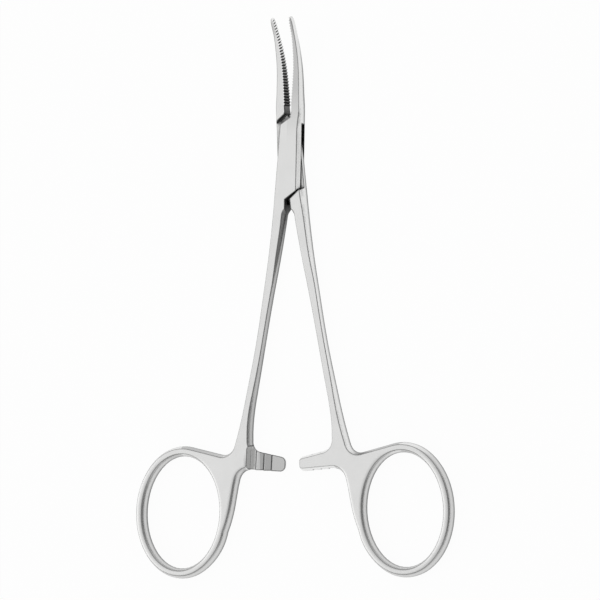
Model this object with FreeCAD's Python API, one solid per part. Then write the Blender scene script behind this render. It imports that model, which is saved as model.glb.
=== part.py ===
import FreeCAD, Part
import math
import os

# Straight-shanked artery clamp with curved serrated jaws, a box lock and a three-step ratchet.
# Each arm is drawn closed, with the hinge axis on Z at X = Y = 0, the tips towards +Y and the
# mid-plane at Z = 0. At the end each arm is swung open by half the resting angle and lifted,
# so that the back face of the box lies on Z = 0.

# Whole instrument, closed
tip_y = 31.3
resting_opening_deg = 7.4

# Side faces bulge outwards: how far, at which height, how full, and the heights that are lofted
crown = 0.75
crown_half_height = 1.8
crown_power = 1.56
crown_levels = (-1.0, -0.5, 0.0, 0.5, 1.0)
samples_per_curve = 9

# Box lock
box_half_thickness = 1.8
box_half_width = 3.1
box_taper = 0.036
box_low_y = -7.5
box_high_y = 6.0
tongue_half_thickness = 0.55
slide_clearance = 0.04
shoulder_angle_deg = 36.0
wall_upper_shoulder = 7.45
wall_lower_shoulder = 7.05
upper_shoulder_gap = 0.85
lower_shoulder_gap = 0.1
slot_end_angle_deg = 37.0
slot_end_distance = 7.96
slot_end_gap = 0.08
shank_root_gap = 0.12

# Lock pin
pin_radius = 1.1
pin_clearance = 0.04

# Shank, at stations below the box: place, middle line, width and half thickness
root_y = -11.0
root_half_thickness = 1.58
neck_y = -22.3
neck_x = 2.86
neck_width = 2.7
neck_half_thickness = 1.24
hollow_y = -29.2
hollow_x = 3.75
hollow_width = 2.3
waist_y = -41.2
waist_x = 5.23
waist_width = 2.0
waist_half_thickness = 0.93
flare_y = -53.5
flare_x = 7.03
flare_width = 2.4
flare_half_thickness = 1.3
crotch_y = -11.0
crotch_end_y = -17.0
crotch_end_x = 0.8

# Finger ring, and the web that joins it to the shank
ring_x = 22.9
ring_y = -79.0
ring_half_width = 11.95
ring_half_length = 14.7
ring_half_thickness = 1.45
band_side_width = 2.4
band_end_width = 2.25
hole_half_width = ring_half_width - band_side_width
hole_half_length = ring_half_length - band_end_width
web_y = ring_y + 20.0
web_inner_x = 6.25
web_side_y = ring_y + 1.0
web_side_x = ring_x - ring_half_width - 0.9
web_heel_y = ring_y - 6.0
web_heel_x = ring_x - ring_half_width + 1.35
web_corner_x = 11.2
web_corner_slope = 0.4
web_shoulder_x = ring_x - 1.6
web_fillet = 2.8

# Ratchet tang
tang_root_x = 9.35
tang_inner_x = 8.3
tang_bottom_y = ring_y + 10.3
tang_tip_x = -2.4
tang_tip_height = 3.1
tang_slope = 0.15
tang_tip_radius = 1.2
tang_upper_fillet = 2.4
tang_lower_fillet = 3.0
tooth_count = 3
tooth_pitch = 2.0
tooth_depth = 0.4
tooth_land = 0.35
tooth_lead_in = 0.15
tooth_root_width = 0.28
tooth_root_depth = 0.22
last_step_x = 1.0
recess_start_x = 6.65
recess_top_y = tang_bottom_y + 5.5
recess_corner_radius = 1.2
recess_depth = 0.12
crest_clearance = 0.05

# Jaw
jaw_root_y = 10.6
jaw_root_half_thickness = 1.42
jaw_mid_y = 16.5
jaw_mid_width = 2.1
jaw_mid_half_thickness = 1.2
jaw_fore_y = 25.5
jaw_fore_width = 1.22
jaw_fore_half_thickness = 0.81
jaw_end_width = 0.62
jaw_end_half_thickness = 0.5
jaw_curve_start_y = 17.0
jaw_curve_radius = 28.0
jaw_section_count = 7
tip_round = 0.45
tip_thinning = 0.6
tip_angles_deg = (35.0, 60.0, 85.0)
pad_end_y = 12.0
pad_relief = 0.17
serration_pitch = 0.645
serration_mouth = 0.54
serration_depth = 0.27
serration_bite = 0.16
serration_count = 30
serration_overrun = 0.04
tip_gap = 0.04

# Spare length of blanks past their cut ends, the corners there, and how far joined parts overlap
spare = 2.0
spare_corner_radius = 1.6
join = 0.05

FAR = 60.0
smooth_angle = math.radians(15)
Z_UP = FreeCAD.Vector(0, 0, 1)
Y_UP = FreeCAD.Vector(0, 1, 0)
ORIGIN = FreeCAD.Vector(0, 0, 0)


def point(x, y, z=0.0):
    return FreeCAD.Vector(x, y, z)


def line(start, end):
    return Part.LineSegment(start, end).toShape()


def curve(points, start_tangent=None, end_tangent=None):
    spline = Part.BSplineCurve()
    if start_tangent is None:
        spline.interpolate(points)
    else:
        spline.interpolate(points, InitialTangent=start_tangent, FinalTangent=end_tangent)
    return spline.toShape()


def box_edge_x(y):
    return box_half_width - box_taper * y


def crown_inset(z):
    return crown * (abs(z) / crown_half_height) ** crown_power


def slab(low_x, high_x, low_y, high_y, low_z=-FAR, high_z=FAR):
    return Part.makeBox(high_x - low_x, high_y - low_y, high_z - low_z, point(low_x, low_y, low_z))


def beyond_line(angle_deg, distance, low_z=-FAR, high_z=FAR):
    """All that lies past a line square to the given direction, measured from +Y towards +X."""
    block = slab(-FAR, FAR, distance, FAR, low_z, high_z)
    block.rotate(ORIGIN, Z_UP, -angle_deg)
    return block


# Plan outline of the box, shank, web, ring and tang

def web_shoulder():
    """Where the straight top of the web leaves the ring, and the corner where it meets the shank."""
    across = (web_shoulder_x - ring_x) / ring_half_width
    along = math.sqrt(1 - across ** 2)
    slope = -across * ring_half_length / (along * ring_half_width)
    shoulder_y = ring_y + along * ring_half_length
    corner_y = shoulder_y - slope * (web_shoulder_x - web_corner_x)
    return point(web_shoulder_x, shoulder_y), point(web_corner_x, corner_y)


def shank_and_box_face():
    top = jaw_root_y + spare
    stations = [
        (neck_x, neck_y, neck_width),
        (hollow_x, hollow_y, hollow_width),
        (waist_x, waist_y, waist_width),
        (flare_x, flare_y, flare_width),
    ]
    outer = [point(box_edge_x(box_low_y), box_low_y)]
    outer += [point(x + width / 2, y) for x, y, width in stations]
    shoulder, corner = web_shoulder()
    outer.append(corner)
    inner = [
        point(web_heel_x, web_heel_y),
        point(web_side_x, web_side_y),
        point(tang_inner_x, tang_bottom_y),
        point(web_inner_x, tang_bottom_y + tang_tip_height + tang_upper_fillet),
        point(web_inner_x, web_y),
    ]
    inner += [point(x - width / 2, y) for x, y, width in reversed(stations)]
    inner += [point(crotch_end_x, crotch_end_y), point(shank_root_gap, crotch_y)]
    edges = [
        line(point(-box_edge_x(top), top), point(box_edge_x(top), top)),
        line(point(box_edge_x(top), top), outer[0]),
        curve(outer, point(box_taper, -1), point(web_corner_slope, -1)),
        line(corner, shoulder),
        line(shoulder, point(ring_x, ring_y)),
        line(point(ring_x, ring_y), inner[0]),
        curve(inner),
        line(inner[-1], point(-box_edge_x(crotch_y), crotch_y)),
        line(point(-box_edge_x(crotch_y), crotch_y), point(-box_edge_x(top), top)),
    ]
    return Part.Face(Part.Wire(edges))


def ellipse_wire(half_width, half_length, z=0.0):
    ellipse = Part.Ellipse(
        point(ring_x, ring_y + half_length, z),
        point(ring_x + half_width, ring_y, z),
        point(ring_x, ring_y, z),
    )
    return Part.Wire([ellipse.toShape()])


def tang_face():
    tip_top_y = tang_bottom_y + tang_tip_height
    root_top_y = tip_top_y + tang_slope * (tang_root_x - tang_tip_x)
    outline = Part.makePolygon([
        point(tang_root_x, tang_bottom_y),
        point(tang_root_x, root_top_y),
        point(tang_tip_x, tip_top_y),
        point(tang_tip_x, tang_bottom_y),
        point(tang_root_x, tang_bottom_y),
    ])
    block = Part.Face(outline).extrude(Z_UP)
    tip_edges = [
        edge for edge in block.Edges
        if abs(edge.BoundBox.XMax - tang_tip_x) < 1e-6 and edge.BoundBox.ZLength > 0.5
    ]
    block = block.makeFillet(tang_tip_radius, tip_edges)
    return bottom_face(block)


def bottom_face(block):
    return min(block.Faces, key=lambda face: face.CenterOfMass.z)


def upright_edges(block):
    """Corners of a plate that was extruded from its plan outline."""
    return [
        edge for edge in block.Edges
        if edge.BoundBox.ZLength > edge.BoundBox.XLength + edge.BoundBox.YLength
    ]


def turns_sharply(block, edge):
    normals = []
    for face in block.ancestorsOfType(edge, Part.Face):
        middle = edge.valueAt((edge.FirstParameter + edge.LastParameter) / 2)
        normals.append(face.normalAt(*face.Surface.parameter(middle)))
    return normals[0].getAngle(normals[1]) > smooth_angle


def round_crossing(block, first, second, radius, upper):
    """Fillet the upper or lower of the corners where two plan outlines cross."""
    crossings = first.OuterWire.section(second.OuterWire).Vertexes
    corners = [
        edge for edge in upright_edges(block)
        for vertex in crossings
        if edge.distToShape(vertex)[0] < join
    ]
    pick = max if upper else min
    return block.makeFillet(radius, [pick(corners, key=lambda edge: edge.BoundBox.YMax)])


def handle_outline():
    stem = shank_and_box_face()
    ring = Part.Face(ellipse_wire(ring_half_width, ring_half_length))
    tang = tang_face()
    block = stem.fuse([ring, tang]).removeSplitter().Faces[0].extrude(Z_UP)
    block = round_crossing(block, stem, tang, tang_upper_fillet, True)
    block = round_crossing(block, stem, tang, tang_lower_fillet, False)
    web_corner = Part.Vertex(web_shoulder()[1])
    block = block.makeFillet(
        web_fillet, [edge for edge in upright_edges(block) if edge.distToShape(web_corner)[0] < join])
    spare_corners = [edge for edge in upright_edges(block) if turns_sharply(block, edge)]
    block = block.makeFillet(spare_corner_radius, spare_corners)
    return bottom_face(block).OuterWire


# Handle blank: the outline with bulging sides, cut to its thickness

def outline_samples(outline):
    """For each edge of a smooth outline, points with the direction that points into the material."""
    edges = outline.OrderedEdges
    chains = []
    for edge in edges:
        count = 2 if edge.Curve.TypeId == "Part::GeomLine" else samples_per_curve
        first, last = edge.ParameterRange
        chain = []
        for number in range(count):
            parameter = first + (last - first) * number / (count - 1)
            tangent = edge.tangentAt(parameter)
            chain.append((edge.valueAt(parameter), point(tangent.y, -tangent.x)))
        if edge.Orientation == "Reversed":
            chain = [(place, -inward) for place, inward in reversed(chain)]
        chains.append(chain)
    for chain, following in zip(chains, chains[1:] + chains[:1]):
        chain[-1] = following[0]
    return chains


def crowned_blank(outline):
    chains = outline_samples(outline)
    wires = []
    for share in crown_levels:
        height = share * crown_half_height
        inset = crown_inset(height)
        edges = []
        for chain in chains:
            places = [place + inward * inset + Z_UP * height for place, inward in chain]
            edges.append(line(*places) if len(places) == 2 else curve(places))
        wires.append(Part.Wire(edges))
    return Part.makeLoft(wires, True, False)


def finger_hole():
    wires = []
    for share in crown_levels:
        height = share * crown_half_height
        growth = crown_inset(height)
        wires.append(ellipse_wire(hole_half_width + growth, hole_half_length + growth, height))
    return Part.makeLoft(wires, True, False)


def side_profile():
    """Front and back faces seen from the side: thick box, slim shank, fuller web and ring."""
    top = jaw_root_y + spare
    bottom = ring_y - ring_half_length - spare
    slope = (jaw_mid_half_thickness - jaw_root_half_thickness) / (jaw_mid_y - jaw_root_y)
    top_half_thickness = jaw_root_half_thickness + slope * spare
    down = point(0, -1, 0)

    def at(y, z):
        return point(0, y, z)

    front = [
        curve(
            [at(top, top_half_thickness), at(jaw_root_y, jaw_root_half_thickness),
             at(box_high_y, box_half_thickness)],
            at(-1, -slope), down),
        line(at(box_high_y, box_half_thickness), at(box_low_y, box_half_thickness)),
        curve(
            [at(box_low_y, box_half_thickness), at(root_y, root_half_thickness),
             at(neck_y, neck_half_thickness), at(hollow_y, waist_half_thickness)],
            down, down),
        line(at(hollow_y, waist_half_thickness), at(waist_y, waist_half_thickness)),
        curve(
            [at(waist_y, waist_half_thickness), at(flare_y, flare_half_thickness),
             at(web_y, ring_half_thickness)],
            down, down),
        line(at(web_y, ring_half_thickness), at(bottom, ring_half_thickness)),
    ]
    back = [edge.mirror(ORIGIN, Z_UP) for edge in front]
    ends = [
        line(at(top, top_half_thickness), at(top, -top_half_thickness)),
        line(at(bottom, ring_half_thickness), at(bottom, -ring_half_thickness)),
    ]
    wire = Part.Wire(Part.__sortEdges__(front + back + ends))
    side = Part.Face(wire)
    side.translate(point(-FAR, 0, 0))
    return side.extrude(point(2 * FAR, 0, 0))


def ratchet_cut():
    """What is ground off the back of the tang: a plain recess, then saw-tooth steps."""
    crest = crest_clearance
    base = crest + tooth_depth
    recess = base + recess_depth
    corners = [(recess_start_x, -FAR), (recess_start_x, recess)]
    for number in reversed(range(tooth_count)):
        step_x = last_step_x + number * tooth_pitch
        floor = recess if number == tooth_count - 1 else base
        groove_x = step_x + tooth_root_width
        groove_floor = floor + tooth_root_depth
        corners += [(groove_x, floor), (groove_x, groove_floor), (step_x, groove_floor)]
        corners += [(step_x, crest), (step_x - tooth_land, crest)]
    end_x = tang_tip_x - spare
    corners += [(end_x, crest + tooth_lead_in), (end_x, -FAR)]
    outline = Part.makePolygon([point(x, -2 * FAR, z) for x, z in corners + corners[:1]])
    steps = Part.Face(outline).extrude(point(0, 4 * FAR, 0))
    reach = slab(end_x, recess_start_x, tang_bottom_y - spare, recess_top_y)
    corner = [
        edge for edge in upright_edges(reach)
        if edge.BoundBox.XMax > recess_start_x - join and edge.BoundBox.YMax > recess_top_y - join
    ]
    return steps.common(reach.makeFillet(recess_corner_radius, corner))


def handle_blank():
    blank = crowned_blank(handle_outline()).common(side_profile())
    blank = blank.cut([finger_hole(), ratchet_cut()])
    return blank.cut(slab(-FAR, FAR, jaw_root_y, FAR))


# Right jaw: sections set square along a centre line that curves towards +Z

def jaw_frame(distance):
    """Place, forward and outward directions on the jaw's centre line, by length along it."""
    if distance <= jaw_curve_start_y:
        return point(0, distance), Y_UP, Z_UP
    angle = (distance - jaw_curve_start_y) / jaw_curve_radius
    forward = point(0, math.cos(angle), math.sin(angle))
    outward = point(0, -math.sin(angle), math.cos(angle))
    centre = point(0, jaw_curve_start_y, jaw_curve_radius)
    return centre - outward * jaw_curve_radius, forward, outward


def jaw_length():
    return jaw_curve_start_y + jaw_curve_radius * math.asin((tip_y - jaw_curve_start_y) / jaw_curve_radius)


def along_jaw(distance, root, mid, fore, end):
    stops = [(jaw_root_y, root), (jaw_mid_y, mid), (jaw_fore_y, fore), (jaw_length(), end)]
    for (low, low_value), (high, high_value) in zip(stops, stops[1:]):
        if distance <= high:
            break
    return low_value + (high_value - low_value) * (distance - low) / (high - low)


def jaw_section(distance, shrink=0.0):
    centre, forward, outward = jaw_frame(distance)
    width = along_jaw(distance, box_edge_x(jaw_root_y), jaw_mid_width, jaw_fore_width, jaw_end_width)
    half = along_jaw(distance, jaw_root_half_thickness, jaw_mid_half_thickness,
                     jaw_fore_half_thickness, jaw_end_half_thickness)
    width -= shrink
    half -= shrink * tip_thinning
    inner = -serration_bite / 2

    def at(x, height):
        return centre + point(x, 0) + outward * height

    bulge = [at(width - crown_inset(half * share), half * share) for share in crown_levels]
    return Part.Wire([
        line(at(inner, -half), bulge[0]),
        curve(bulge),
        line(bulge[-1], at(inner, half)),
        line(at(inner, half), at(inner, -half)),
    ])


def jaw_blank(root_face):
    sections = [root_face.OuterWire]
    body_end = jaw_length() - tip_round
    for number in range(1, jaw_section_count + 1):
        sections.append(jaw_section(jaw_root_y + (body_end - jaw_root_y) * number / jaw_section_count))
    for angle_deg in tip_angles_deg:
        angle = math.radians(angle_deg)
        distance = body_end + tip_round * math.sin(angle)
        sections.append(jaw_section(distance, tip_round * (1 - math.cos(angle))))
    return Part.makeLoft(sections, True, False)


def serration_cuts(offset):
    """V grooves square to the curved jaw, cut from its mating face, and the plain tip beyond them."""
    mouth_x = -serration_bite / 2
    half_mouth = serration_mouth / 2 * (1 + serration_overrun / serration_depth)
    cuts = []
    for number in range(serration_count + 1):
        centre, forward, outward = jaw_frame(pad_end_y + serration_pitch * (number + offset))
        low = centre - outward * box_half_thickness
        corners = [
            low + point(mouth_x - serration_overrun, 0) - forward * half_mouth,
            low + point(mouth_x - serration_overrun, 0) + forward * half_mouth,
            low + point(mouth_x + serration_depth, 0),
        ]
        triangle = Part.makePolygon(corners + corners[:1])
        cuts.append(Part.Face(triangle).extrude(outward * (2 * box_half_thickness)))
    serration_end = pad_end_y + serration_pitch * serration_count
    centre, forward, outward = jaw_frame(serration_end)
    relief = slab(mouth_x - spare, tip_gap / 2, 0, tip_y, -box_half_thickness, box_half_thickness)
    relief.rotate(ORIGIN, point(1, 0, 0), math.degrees(math.atan2(forward.z, forward.y)))
    cuts.append(relief.translated(centre))
    return cuts


def jaw(handle, offset):
    """The right jaw, grown from the end face of a handle blank, with its pad and serrations."""
    inner = -serration_bite / 2
    stub = handle.common(slab(inner, FAR, jaw_root_y - spare, FAR))
    root_face = max(stub.Faces, key=lambda face: face.CenterOfMass.y)
    blank = jaw_blank(root_face)
    cuts = serration_cuts(offset)
    cuts.append(slab(inner - spare, pad_relief, jaw_root_y - spare, pad_end_y))
    return blank.cut(cuts)


# The two arms, closed

def pin_bore(radius):
    return Part.makeCylinder(radius, FAR, point(0, 0, -FAR / 2), Z_UP)


def female_arm(handle):
    """Left ring and shank, box with its slot, right jaw."""
    above = beyond_line(-shoulder_angle_deg, wall_upper_shoulder)
    above = above.common(slab(-FAR, pad_relief, 0, FAR))
    below = beyond_line(180 - shoulder_angle_deg, wall_lower_shoulder)
    below = below.common(slab(-shank_root_gap, FAR, -FAR, 0))
    slot_half = tongue_half_thickness + slide_clearance
    slot = slab(-FAR, FAR, -FAR, FAR, -slot_half, slot_half)
    slot = slot.cut([
        beyond_line(slot_end_angle_deg, slot_end_distance),
        beyond_line(180 + slot_end_angle_deg, slot_end_distance),
    ])
    return handle.cut([above, below, slot, pin_bore(pin_radius)])


def male_arm(handle):
    """Right ring and shank, tongue through the box, left jaw."""
    above = beyond_line(slot_end_angle_deg, slot_end_distance - slot_end_gap)
    above = above.common(slab(-pad_relief, FAR, 0, FAR))
    below = beyond_line(180 + slot_end_angle_deg, slot_end_distance - slot_end_gap)
    below = below.common(slab(-FAR, shank_root_gap, -FAR, 0))
    jaw_root = beyond_line(-shoulder_angle_deg, wall_upper_shoulder + upper_shoulder_gap)
    jaw_root = jaw_root.common(slab(-FAR, -pad_relief, 0, FAR))
    shank_root = beyond_line(180 - shoulder_angle_deg, wall_lower_shoulder + lower_shoulder_gap)
    shank_root = shank_root.common(slab(shank_root_gap, FAR, -FAR, 0))
    rebates = [
        slab(-FAR, FAR, -FAR, FAR, low_z, high_z).cut([jaw_root, shank_root])
        for low_z, high_z in ((tongue_half_thickness, FAR), (-FAR, -tongue_half_thickness))
    ]
    return handle.cut([above, below, pin_bore(pin_radius + pin_clearance)] + rebates)


def placed(shape, swing_deg):
    shape = shape.rotated(ORIGIN, Z_UP, swing_deg)
    return shape.translated(Z_UP * box_half_thickness)


def main():
    os.makedirs("parts", exist_ok=True)
    right_handle = handle_blank()
    left_handle = right_handle.rotated(ORIGIN, Y_UP, 180)
    mirror_x = point(1, 0, 0)
    right_jaw = jaw(left_handle, 0.5)
    left_jaw = jaw(right_handle.mirror(ORIGIN, mirror_x), 0.0).mirror(ORIGIN, mirror_x)
    female = female_arm(left_handle).fuse(right_jaw)
    male = male_arm(right_handle).fuse(left_jaw)
    pin = Part.makeCylinder(pin_radius, 2 * box_half_thickness, point(0, 0, -box_half_thickness), Z_UP)
    swing = resting_opening_deg / 2
    pieces = (("female_arm", female, -swing), ("male_arm", male, swing), ("lock_pin", pin, 0))
    for name, shape, turn in pieces:
        print(name, shape.isValid(), len(shape.Solids), round(shape.Volume, 3))
        placed(shape, turn).exportStep("parts/" + name + ".step")


main()
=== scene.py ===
import math

import bpy
from mathutils import Matrix, Vector

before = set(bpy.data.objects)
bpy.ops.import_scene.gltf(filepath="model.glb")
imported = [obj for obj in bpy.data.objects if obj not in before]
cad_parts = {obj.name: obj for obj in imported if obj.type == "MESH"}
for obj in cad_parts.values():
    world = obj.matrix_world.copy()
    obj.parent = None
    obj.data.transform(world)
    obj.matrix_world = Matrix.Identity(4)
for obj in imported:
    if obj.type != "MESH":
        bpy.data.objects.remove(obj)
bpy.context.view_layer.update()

bl_info = {
    "name": "Curved Artery Forceps",
    "version": (1, 0, 0),
    "blender": (4, 5, 0),
    "location": "3D View > Sidebar > Forceps",
    "description": "Finishes the packed artery forceps in satin steel and sets it on a plain stage",
    "category": "Object",
}

ARMS = ("female_arm", "male_arm")
PIN = "lock_pin"
RESTING_OPENING = math.radians(7.4)

# Squares of the upright part of a face's direction, 0 on a wall and 1 on a flat
WALL_BELOW = 0.36
WALL_GONE = 0.6
FLAT_ABOVE = 0.8

# How far a serration's slope faces the tips, from slopes with painted shade to light ones
DARK_SLOPE = -0.45
LIGHT_SLOPE = -0.1

# Greys of the painted shade and painted lines that the steel fades to
PAINTED_LINE_GREY = 0.12
SHADE_GREY = 0.05
DARK_GREY = 0.02

# Heights on the arms between which painted shade comes in on a jaw's leading face
JAW_FADE_FROM = 0.002
JAW_FADE_TO = 0.019

# Height over which the rings' broad rounding and painted wall shade run out
RING_FADE = 0.003

# Missing steel round a point, at which a painted dark line or a painted highlight on a crest starts and is
# complete
PAINTED_RIM_LINE = (0.03, 0.13)
PAINTED_CREST = (0.1, 0.35)

# Open air round a point, at which painted shade starts and is complete
ROOT = (0.92, 0.66)
CREVICE = (0.5, 0.2)

# How strong the painted dark line is on flats, and how much more on the teeth
PAINTED_RIM_DARK = 0.6
TOOTH_RIM_GAIN = 0.6

# Open air that tangs and serrations are taken to have on top, which keeps their painted shade lighter
TANG_ROOT_OPENING = 0.03
TANG_OPENING = 0.4
SERRATION_OPENING = 0.1

# How much sooner painted shade darkens the tongue than the walls of the box lock
TONGUE_GAIN = 1.5

# Polishing lines and patches
BRIGHTEST = 1.06
DULLEST = 0.92
PATCH_SHARE = 0.65
PATCHES_PER_METRE = 260.0
GRAIN_ROUGHNESS = 0.08
PATCH_ROUGHNESS = 0.04

# Rays that each mask and rounding is worked out from
MASK_RAYS = 8
RING_RAYS = 16
FLOOR_RAYS = 16

# Floor, and how much of what the steel mirrors is its painted glow
FLOOR_SIZE = 6
FLOOR_HEIGHT = -0.00003
MIRRORED_SHARE = 0.9

# How far to a side the room's light stops changing
ROOM_END = 0.95


# Sizes and colours that a user would change

class SteelSettings(bpy.types.PropertyGroup):
    colour: bpy.props.FloatVectorProperty(
        name="Steel colour", description="Reflected colour of the bare steel",
        default=(0.74, 0.74, 0.735), size=3, min=0, max=1, subtype="COLOR")
    roughness: bpy.props.FloatProperty(
        name="Roughness", description="Blur of the satin finish",
        default=0.24, min=0.02, max=1, subtype="FACTOR")
    grain_width: bpy.props.FloatProperty(
        name="Grain width", description="Width of one polishing line",
        default=0.00009, min=0.00001, unit="LENGTH")
    grain_length: bpy.props.FloatProperty(
        name="Grain length", description="Length of one polishing line, along the arms",
        default=0.003, min=0.0001, unit="LENGTH")
    grain_depth: bpy.props.FloatProperty(
        name="Grain depth", description="Depth of the polishing lines",
        default=0.0000012, min=0, unit="LENGTH")
    edge_radius: bpy.props.FloatProperty(
        name="Edge radius", description="How far tumbling has rounded the edges of the shanks and the box",
        default=0.0003, min=0, unit="LENGTH")
    fine_edge_radius: bpy.props.FloatProperty(
        name="Fine edge radius", description="Rounding of the edges of jaws, serrations and teeth",
        default=0.00004, min=0, unit="LENGTH")
    ring_edge_radius: bpy.props.FloatProperty(
        name="Ring edge radius", description="How far the bands of the rings are rounded",
        default=0.0011, min=0, unit="LENGTH")
    fine_edges_from: bpy.props.FloatProperty(
        name="Fine edges from", description="Height on the arms at which the jaws start",
        default=0.0104, unit="LENGTH")
    rings_below: bpy.props.FloatProperty(
        name="Rings below", description="Height on the arms below which the rings lie",
        default=-0.0665, unit="LENGTH")
    box_half_height: bpy.props.FloatProperty(
        name="Box half height", description="From the hinge axis to the ends of the box lock",
        default=0.0125, min=0, unit="LENGTH")
    flush_radius: bpy.props.FloatProperty(
        name="Flush radius", description="Round the hinge axis, where pin and box are ground as one face",
        default=0.0016, min=0, unit="LENGTH")
    tongue_middle: bpy.props.FloatProperty(
        name="Tongue middle", description="Height above the table of the middle of the tongue",
        default=0.0018, unit="LENGTH")
    tongue_half: bpy.props.FloatProperty(
        name="Tongue half", description="Half of the tongue's thickness, and a little more",
        default=0.0006, min=0, unit="LENGTH")
    tang_reach: bpy.props.FloatProperty(
        name="Tang reach", description="From the middle of the forceps to the root of the ratchet tangs",
        default=0.0112, min=0, unit="LENGTH")
    tang_top: bpy.props.FloatProperty(
        name="Tang top", description="Height on the arms below which the ratchet tangs lie",
        default=-0.0631, unit="LENGTH")
    teeth_end: bpy.props.FloatProperty(
        name="Teeth end", description="From the middle of the forceps to the recess behind the last tooth",
        default=0.0084, min=0, unit="LENGTH")
    mating_depth: bpy.props.FloatProperty(
        name="Mating depth", description="Depth of the serrated faces of the jaws",
        default=0.0004, min=0, unit="LENGTH")
    # The roots of teeth and serrations get painted shade
    tooth_reach: bpy.props.FloatProperty(
        name="Tooth reach", description="Width of the dark roots of teeth and serrations",
        default=0.00036, min=0, unit="LENGTH")
    tooth_root_dark: bpy.props.FloatProperty(
        name="Tooth root darkness", description="How dark the roots of teeth and serrations are",
        default=0.9, min=0, max=1, subtype="FACTOR")
    # The line beside the edges is a painted dark reflection
    line_width: bpy.props.FloatProperty(
        name="Line width", description="Width of the dull line that grinding leaves beside the edges",
        default=0.0002, min=0, unit="LENGTH")
    painted_line_dark: bpy.props.FloatProperty(
        name="Line darkness", description="How sharply that line starts on the walls",
        default=4.0, min=0)
    # Crevice darkness is painted shade in gaps and grooves
    crevice_size: bpy.props.FloatProperty(
        name="Crevice size", description="Width of the gaps and grooves that stay dark",
        default=0.0013, min=0, unit="LENGTH")
    crevice_painted_shade: bpy.props.FloatProperty(
        name="Crevice darkness", description="How dark oxide and old polish leave the gaps and grooves",
        default=0.95, min=0, max=1, subtype="FACTOR")
    box_gap_dark: bpy.props.FloatProperty(
        name="Box gap darkness", description="How much sooner the gaps of the box lock go dark",
        default=0.3, min=0, max=1)
    # These four darken faces with painted shade, not with a duller finish
    toothed_side_shade: bpy.props.FloatProperty(
        name="Toothed side dullness", description="How much duller the toothed side of a tang is",
        default=0.3, min=0, max=1, subtype="FACTOR")
    jaw_face_shade: bpy.props.FloatProperty(
        name="Jaw face dullness", description="How much duller the leading face of a jaw is",
        default=0.27, min=0, max=1, subtype="FACTOR")
    ring_wall_shade: bpy.props.FloatProperty(
        name="Ring wall dullness", description="How much duller the walls of the rings are than their flats",
        default=0.22, min=0, max=1, subtype="FACTOR")
    inner_wall_shade: bpy.props.FloatProperty(
        name="Inner wall dullness", description="How much duller the facing sides of the shanks are",
        default=0.4, min=0, max=1, subtype="FACTOR")


class StageSettings(bpy.types.PropertyGroup):
    view_tilt: bpy.props.FloatProperty(
        name="View tilt", description="Lean of the camera away from straight above",
        default=math.radians(29.5), subtype="ANGLE")
    view_heading: bpy.props.FloatProperty(
        name="View heading", description="Direction of the lean, from the right towards the tips",
        default=math.radians(-6.2), subtype="ANGLE")
    view_roll: bpy.props.FloatProperty(
        name="View roll", description="Turn of the picture about its middle",
        default=math.radians(0.34), subtype="ANGLE")
    view_centre: bpy.props.FloatVectorProperty(
        name="View centre", description="Point that the camera looks at",
        default=(0.00155, -0.03094, 0.0008), size=3, subtype="TRANSLATION")
    view_distance: bpy.props.FloatProperty(
        name="View distance", description="From the view centre to the camera",
        default=1.12, min=0.1, unit="LENGTH")
    view_width: bpy.props.FloatProperty(
        name="View width", description="Width of the picture at the view centre",
        default=0.1321, min=0.01, unit="LENGTH")
    floor_colour: bpy.props.FloatVectorProperty(
        name="Floor colour", description="Colour of the floor",
        default=(0.86, 0.86, 0.86), size=3, min=0, max=1, subtype="COLOR")
    lamp_power: bpy.props.FloatProperty(
        name="Lamp power", description="Power of the soft lamp at the upper left",
        default=1.5, min=0, unit="POWER")
    lamp_tilt: bpy.props.FloatProperty(
        name="Lamp tilt", description="Lean of the lamp to the left of straight above",
        default=math.radians(50), subtype="ANGLE")
    lamp_size: bpy.props.FloatProperty(
        name="Lamp size", description="Side of the square soft lamp",
        default=1.3, min=0.01, unit="LENGTH")
    room_overhead: bpy.props.FloatProperty(
        name="Room light", description="Light from straight above",
        default=0.7, min=0)
    room_glow: bpy.props.FloatProperty(
        name="Bright side", description="Light gained towards the left side of the room",
        default=0.5, min=0)
    room_glow_from: bpy.props.FloatProperty(
        name="Bright side from", description="How far to the left the room starts to get bright",
        default=0.6, min=-1, max=1)
    room_dim: bpy.props.FloatProperty(
        name="Dim side", description="Light lost towards the right side of the room",
        default=0.52, min=0)
    room_dim_from: bpy.props.FloatProperty(
        name="Dim side from", description="How far to the right the room starts to get dim",
        default=0.45, min=-1, max=1)
    floor_white: bpy.props.FloatProperty(
        name="Floor white", description="Share of plain white in the floor as the camera sees it",
        default=0.96, min=0, max=1, subtype="FACTOR")
    floor_mirrored: bpy.props.FloatProperty(
        name="Floor mirrored", description="Brightness of the open floor as the steel mirrors it",
        default=1.13, min=0)
    # The mirrored floor gets a painted shadow near the steel
    contact_reach: bpy.props.FloatProperty(
        name="Contact reach", description="How far from the steel the mirrored floor is in its shade",
        default=0.003, min=0, unit="LENGTH")


# Shader maths

class Value:
    """A node's output that takes part in Python expressions."""

    def __init__(self, shader, socket):
        self.shader = shader
        self.socket = socket

    def combine(self, operation, *values):
        return self.shader.node("ShaderNodeMath", {"operation": operation}, dict(enumerate(values)))

    def __add__(self, other):
        return self.combine("ADD", self, other)

    def __radd__(self, other):
        return self.combine("ADD", other, self)

    def __sub__(self, other):
        return self.combine("SUBTRACT", self, other)

    def __rsub__(self, other):
        return self.combine("SUBTRACT", other, self)

    def __mul__(self, other):
        return self.combine("MULTIPLY", self, other)

    def __rmul__(self, other):
        return self.combine("MULTIPLY", other, self)

    def __lt__(self, other):
        return self.combine("LESS_THAN", self, other)

    def __gt__(self, other):
        return self.combine("GREATER_THAN", self, other)

    def __abs__(self):
        return self.combine("ABSOLUTE", self)


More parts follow.
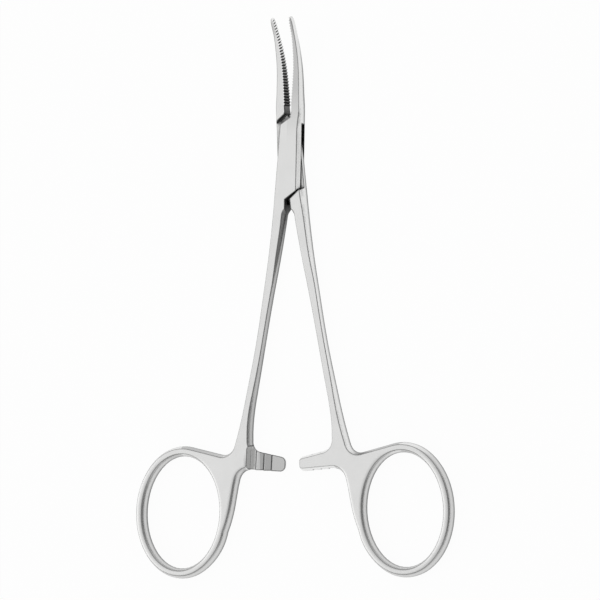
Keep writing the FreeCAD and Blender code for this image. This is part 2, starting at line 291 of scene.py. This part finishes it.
class Shader:
    """The nodes of one material or world."""

    def __init__(self, tree):
        self.tree = tree
        tree.nodes.clear()

    def node(self, kind, settings=None, sockets=None, output=0):
        """Add a node: its settings first, then the values or links of its sockets."""
        made = self.tree.nodes.new(kind)
        for name, setting in (settings or {}).items():
            setattr(made, name, setting)
        for name, given in (sockets or {}).items():
            socket = self.find(made.inputs, name)
            if isinstance(given, Value):
                self.tree.links.new(given.socket, socket)
            else:
                socket.default_value = given
        if len(made.outputs) == 0:
            return None
        return Value(self, self.find(made.outputs, output))

    @staticmethod
    def find(sockets, name):
        if isinstance(name, int):
            return sockets[name]
        return next(socket for socket in sockets if name in (socket.identifier, socket.name))


def larger(first, second):
    return first.combine("MAXIMUM", first, second)


def part_along(vector, axis):
    return vector.shader.node("ShaderNodeSeparateXYZ", None, {"Vector": vector}, axis)


def fade(value, start, end, strength=1.0):
    """0 up to start, strength from end on, and smooth between them; start may be above end."""
    rising = start < end
    return value.shader.node("ShaderNodeMapRange", {"interpolation_type": "SMOOTHSTEP"}, {
        "Value": value,
        "From Min": min(start, end), "From Max": max(start, end),
        "To Min": 0.0 if rising else strength, "To Max": strength if rising else 0.0})


def mixed_colour(share, first, second):
    return share.shader.node("ShaderNodeMix", {"data_type": "RGBA"}, {
        "Factor_Float": share, "A_Color": first, "B_Color": second}, "Result_Color")


def mixed_direction(share, first, second):
    return share.shader.node("ShaderNodeMix", {"data_type": "VECTOR"}, {
        "Factor_Float": share, "A_Vector": first, "B_Vector": second}, "Result_Vector")


def grey(level):
    return (level, level, level, 1)


def open_share(shader, reach, rays=MASK_RAYS, **settings):
    """Share of the directions in which nothing is met within reach."""
    return shader.node("ShaderNodeAmbientOcclusion", {"samples": rays, **settings}, {"Distance": reach}, "AO")


def rounding(shader, radius, rays=MASK_RAYS):
    return shader.node("ShaderNodeBevel", {"samples": rays}, {"Radius": radius})


# Satin steel

class Places:
    """Masks of the forceps' own places, 1 inside and 0 outside."""

    def __init__(self, shader, steel):
        self.point = shader.node("ShaderNodeTexCoord", output="Object")
        self.direction = shader.node("ShaderNodeNewGeometry", output="True Normal")
        sideways = part_along(self.point, "X")
        along = part_along(self.point, "Y")
        high = part_along(self.point, "Z")
        from_middle = abs(sideways)
        upright = part_along(self.direction, "Z")
        flatness = upright * upright
        turned = sideways * upright

        self.wall = fade(flatness, WALL_GONE, WALL_BELOW)
        self.jaws = along > steel.fine_edges_from
        self.mating = self.jaws * (
            (from_middle - math.tan(RESTING_OPENING / 2) * along) < steel.mating_depth)
        self.tangs = (from_middle < steel.tang_reach) * (along < steel.tang_top)
        self.toothed = self.tangs * (turned < 0.0) * (from_middle < steel.teeth_end)
        self.leading = (flatness > FLAT_ABOVE) * (turned > 0.0) * fade(along, JAW_FADE_FROM, JAW_FADE_TO)
        self.rings = (1 - self.tangs) * fade(along, steel.rings_below + RING_FADE, steel.rings_below)
        facing_inwards = (sideways * part_along(self.direction, "X")) < 0.0
        self.inner_wall = (1 - self.jaws) * (1 - self.rings) * (1 - self.tangs) * self.wall * facing_inwards
        # Serration slopes that face away from the tips get painted shade
        self.painted_shade_slope = self.wall * fade(part_along(self.direction, "Y"), LIGHT_SLOPE, DARK_SLOPE)

        across = shader.node("ShaderNodeVectorMath", {"operation": "MULTIPLY"}, {0: self.point, 1: (1, 1, 0)})
        from_pin = shader.node("ShaderNodeVectorMath", {"operation": "LENGTH"}, {0: across}, "Value")
        self.ground_flush = from_pin < steel.flush_radius
        tongue = abs(high - steel.tongue_middle) < steel.tongue_half
        in_box = abs(along) < steel.box_half_height
        # Where the gaps of the box lock get painted shade sooner
        self.box_gap = in_box * (1 - self.mating) * larger(TONGUE_GAIN * tongue, self.wall)


def polishing_lines(shader, places, steel):
    across = 1 / steel.grain_width
    lines = shader.node("ShaderNodeMapping", {"vector_type": "POINT"}, {
        "Vector": places.point, "Scale": (across, 1 / steel.grain_length, across)})
    return shader.node("ShaderNodeTexNoise", None, {
        "Vector": lines, "Scale": 1.0, "Detail": 3.0, "Roughness": 0.6})


def handling_patches(shader, places):
    return shader.node("ShaderNodeTexNoise", None, {
        "Vector": places.point, "Scale": PATCHES_PER_METRE, "Detail": 2.0, "Roughness": 0.5})


def patched_and_shaded_colour(places, steel, grain, patches):
    """Bare steel with its patches, and painted shade on the toothed side of the tangs, the leading faces of
    the jaws, the ring walls and the facing sides of the shanks.
    """
    bright = [channel * BRIGHTEST for channel in steel.colour] + [1.0]
    dull = [channel * DULLEST for channel in steel.colour] + [1.0]
    polished = mixed_colour(PATCH_SHARE * patches + (1 - PATCH_SHARE) * grain, dull, bright)
    painted_shade = steel.toothed_side_shade * places.toothed + steel.jaw_face_shade * places.leading
    painted_shade = painted_shade + steel.ring_wall_shade * places.rings * places.wall + steel.inner_wall_shade * places.inner_wall
    return mixed_colour(painted_shade, polished, grey(SHADE_GREY))


def colour_with_painted_lines(places, steel, base, near_edge):
    """Painted dark lines beside the edges, standing in for dark reflections, and painted highlights on the
    crests of the serrations.
    """
    shader = near_edge.shader
    painted_wall_line = shader.node("ShaderNodeClamp", None, {"Value": steel.painted_line_dark * near_edge})
    painted_rim_line = fade(near_edge, *PAINTED_RIM_LINE, PAINTED_RIM_DARK) * (1 + TOOTH_RIM_GAIN * places.toothed)
    line = places.wall * painted_wall_line * (1 - places.tangs) + (1 - places.wall) * painted_rim_line
    line = line * (1 - places.mating) * (1 - places.ground_flush)
    lined = mixed_colour(line, base, grey(PAINTED_LINE_GREY))
    # Painted highlight on the crests of the serrations
    return mixed_colour(places.mating * fade(near_edge, *PAINTED_CREST), lined, grey(1))


def shaded_colour(shader, places, steel, base):
    """Painted shade: dark roots of teeth and serrations, dark serration slopes that face away from the tips,
    and dark gaps and grooves, soonest in the box lock.
    """
    tooth_room = open_share(shader, steel.tooth_reach, only_local=True)
    root = larger(places.mating, places.toothed) * fade(tooth_room + TANG_ROOT_OPENING * places.tangs, *ROOT)
    painted_root_shade = larger(root, places.mating * places.painted_shade_slope)
    rooted = mixed_colour(steel.tooth_root_dark * painted_root_shade, base, grey(DARK_GREY))
    room = open_share(shader, steel.crevice_size, only_local=False)
    room = room + TANG_OPENING * places.tangs + SERRATION_OPENING * places.mating
    shut = fade(room - steel.box_gap_dark * places.box_gap, *CREVICE)
    return mixed_colour(steel.crevice_painted_shade * shut, rooted, grey(DARK_GREY))


def rounded_direction(shader, places, steel):
    """Rounded edges: fine on jaws and teeth, broad on the rings, none where the pin is flush."""
    fine = larger(places.jaws, places.toothed)
    rounded = mixed_direction(
        fine, rounding(shader, steel.edge_radius), rounding(shader, steel.fine_edge_radius))
    rounded = mixed_direction(
        places.rings, rounded, rounding(shader, steel.ring_edge_radius, RING_RAYS))
    return mixed_direction(places.ground_flush, rounded, places.direction)


def satin_steel(name, steel):
    material = bpy.data.materials.new(name)
    material.use_nodes = True
    shader = Shader(material.node_tree)
    places = Places(shader, steel)
    grain = polishing_lines(shader, places, steel)
    patches = handling_patches(shader, places)
    near_edge = 1 - open_share(shader, steel.line_width, inside=True, only_local=True)
    colour = patched_and_shaded_colour(places, steel, grain, patches)
    colour = colour_with_painted_lines(places, steel, colour, near_edge)
    colour = shaded_colour(shader, places, steel, colour)
    roughness = steel.roughness + GRAIN_ROUGHNESS * (grain - 0.5) + PATCH_ROUGHNESS * (patches - 0.5)
    normal = shader.node("ShaderNodeBump", None, {
        "Strength": 1.0, "Distance": steel.grain_depth, "Height": grain,
        "Normal": rounded_direction(shader, places, steel)})
    surface = shader.node("ShaderNodeBsdfPrincipled", None, {
        "Base Color": colour, "Metallic": 1.0, "Roughness": roughness, "Normal": normal})
    shader.node("ShaderNodeOutputMaterial", None, {"Surface": surface})
    return material


def finish_node(name, material):
    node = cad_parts[name]
    for slot in node.material_slots:
        slot.material = material


class FORCEPS_OT_finish_arms(bpy.types.Operator):
    """Give both arms their satin steel"""

    bl_idname = "forceps.finish_arms"
    bl_label = "Finish Arms"

    def execute(self, context):
        material = satin_steel("satin_steel", context.scene.forceps_steel)
        for name in ARMS:
            finish_node(name, material)
        return {"FINISHED"}


class FORCEPS_OT_finish_pin(bpy.types.Operator):
    """Give the lock pin its ground steel"""

    bl_idname = "forceps.finish_pin"
    bl_label = "Finish Lock Pin"

    def execute(self, context):
        finish_node(PIN, satin_steel("pin_steel", context.scene.forceps_steel))
        return {"FINISHED"}


# Stage

def plain_floor(stage):
    bpy.ops.object.select_all(action="DESELECT")
    bpy.ops.mesh.primitive_plane_add(size=FLOOR_SIZE, location=(0, 0, FLOOR_HEIGHT))
    floor = bpy.context.active_object
    floor.name = "floor"
    material = bpy.data.materials.new("floor_paper")
    material.use_nodes = True
    shader = Shader(material.node_tree)
    seen = shader.node("ShaderNodeLightPath", output="Is Camera Ray")
    mirrored = shader.node("ShaderNodeLightPath", output="Is Glossy Ray")
    paper = shader.node("ShaderNodeBsdfDiffuse", None, {"Color": [*stage.floor_colour, 1.0]})
    white = shader.node("ShaderNodeEmission", None, {"Color": grey(1), "Strength": 1.0})
    # The floor that the steel mirrors glows, with painted shadow where little open air is round it near the
    # steel
    open_floor = open_share(shader, stage.contact_reach, FLOOR_RAYS)
    brightness = stage.floor_mirrored * open_floor * open_floor
    glow = shader.node("ShaderNodeCombineColor", None, dict.fromkeys((0, 1, 2), brightness))
    painted_floor_glow = shader.node("ShaderNodeEmission", None, {"Color": glow, "Strength": 1.0})
    unseen = shader.node("ShaderNodeMixShader", None, {
        "Fac": MIRRORED_SHARE * mirrored, 1: paper, 2: painted_floor_glow})
    surface = shader.node("ShaderNodeMixShader", None, {
        "Fac": stage.floor_white * seen, 1: unseen, 2: white})
    shader.node("ShaderNodeOutputMaterial", None, {"Surface": surface})
    floor.data.materials.append(material)


def lean(tilt, heading):
    """Direction that leans from straight above by tilt, towards heading."""
    return Vector((
        math.sin(tilt) * math.cos(heading), math.sin(tilt) * math.sin(heading), math.cos(tilt)))


def soft_lamp(stage):
    away = lean(stage.lamp_tilt, math.pi)
    data = bpy.data.lights.new("soft_lamp", "AREA")
    data.shape = "SQUARE"
    data.size = stage.lamp_size
    data.energy = stage.lamp_power
    lamp = bpy.data.objects.new("soft_lamp", data)
    lamp.location = Vector(stage.view_centre) + away * stage.view_distance
    lamp.rotation_euler = away.to_track_quat("Z", "Y").to_euler()
    bpy.context.collection.objects.link(lamp)


def soft_room(stage):
    world = bpy.data.worlds.new("soft_room")
    world.use_nodes = True
    shader = Shader(world.node_tree)
    to_right = part_along(shader.node("ShaderNodeTexCoord", output="Generated"), "X")
    dim = fade(to_right, stage.room_dim_from, ROOM_END)
    glow = fade(-1.0 * to_right, stage.room_glow_from, ROOM_END)
    strength = stage.room_overhead - stage.room_dim * dim + stage.room_glow * glow
    light = shader.node("ShaderNodeBackground", None, {"Color": grey(1), "Strength": strength})
    shader.node("ShaderNodeOutputWorld", None, {"Surface": light})
    bpy.context.scene.world = world


def camera(stage):
    away = lean(stage.view_tilt, stage.view_heading)
    right = Vector((0, 1, 0)).cross(away).normalized()
    up = away.cross(right)
    roll = stage.view_roll
    turned_right = right * math.cos(roll) - up * math.sin(roll)
    turned_up = up * math.cos(roll) + right * math.sin(roll)
    data = bpy.data.cameras.new("camera")
    data.lens = data.sensor_width * stage.view_distance / stage.view_width
    data.clip_end = 10
    made = bpy.data.objects.new("camera", data)
    axes = Matrix((turned_right, turned_up, away)).transposed()
    place = Vector(stage.view_centre) + away * stage.view_distance
    made.matrix_world = Matrix.Translation(place) @ axes.to_4x4()
    bpy.context.collection.objects.link(made)
    bpy.context.scene.camera = made


class FORCEPS_OT_set_stage(bpy.types.Operator):
    """Lay a plain floor, set soft light and place the camera"""

    bl_idname = "forceps.set_stage"
    bl_label = "Set Stage"

    def execute(self, context):
        stage = context.scene.forceps_stage
        plain_floor(stage)
        soft_lamp(stage)
        soft_room(stage)
        camera(stage)
        context.scene.view_settings.view_transform = "Standard"
        return {"FINISHED"}


class FORCEPS_PT_panel(bpy.types.Panel):
    """Lists the steps and their settings"""

    bl_idname = "FORCEPS_PT_panel"
    bl_label = "Forceps"
    bl_space_type = "VIEW_3D"
    bl_region_type = "UI"
    bl_category = "Forceps"

    def draw(self, context):
        layout = self.layout
        for settings in (context.scene.forceps_steel, context.scene.forceps_stage):
            for name in settings.bl_rna.properties.keys():
                if name not in ("rna_type", "name"):
                    layout.prop(settings, name)
        for step in STEPS:
            layout.operator(step.bl_idname)


STEPS = (FORCEPS_OT_finish_arms, FORCEPS_OT_finish_pin, FORCEPS_OT_set_stage)
CLASSES = (SteelSettings, StageSettings, *STEPS, FORCEPS_PT_panel)


def register():
    for cls in CLASSES:
        bpy.utils.register_class(cls)
    bpy.types.Scene.forceps_steel = bpy.props.PointerProperty(type=SteelSettings)
    bpy.types.Scene.forceps_stage = bpy.props.PointerProperty(type=StageSettings)


def unregister():
    del bpy.types.Scene.forceps_stage
    del bpy.types.Scene.forceps_steel
    for cls in reversed(CLASSES):
        bpy.utils.unregister_class(cls)


def main():
    register()
    bpy.ops.forceps.finish_arms()
    bpy.ops.forceps.finish_pin()
    bpy.ops.forceps.set_stage()


if __name__ == "__main__":
    main()
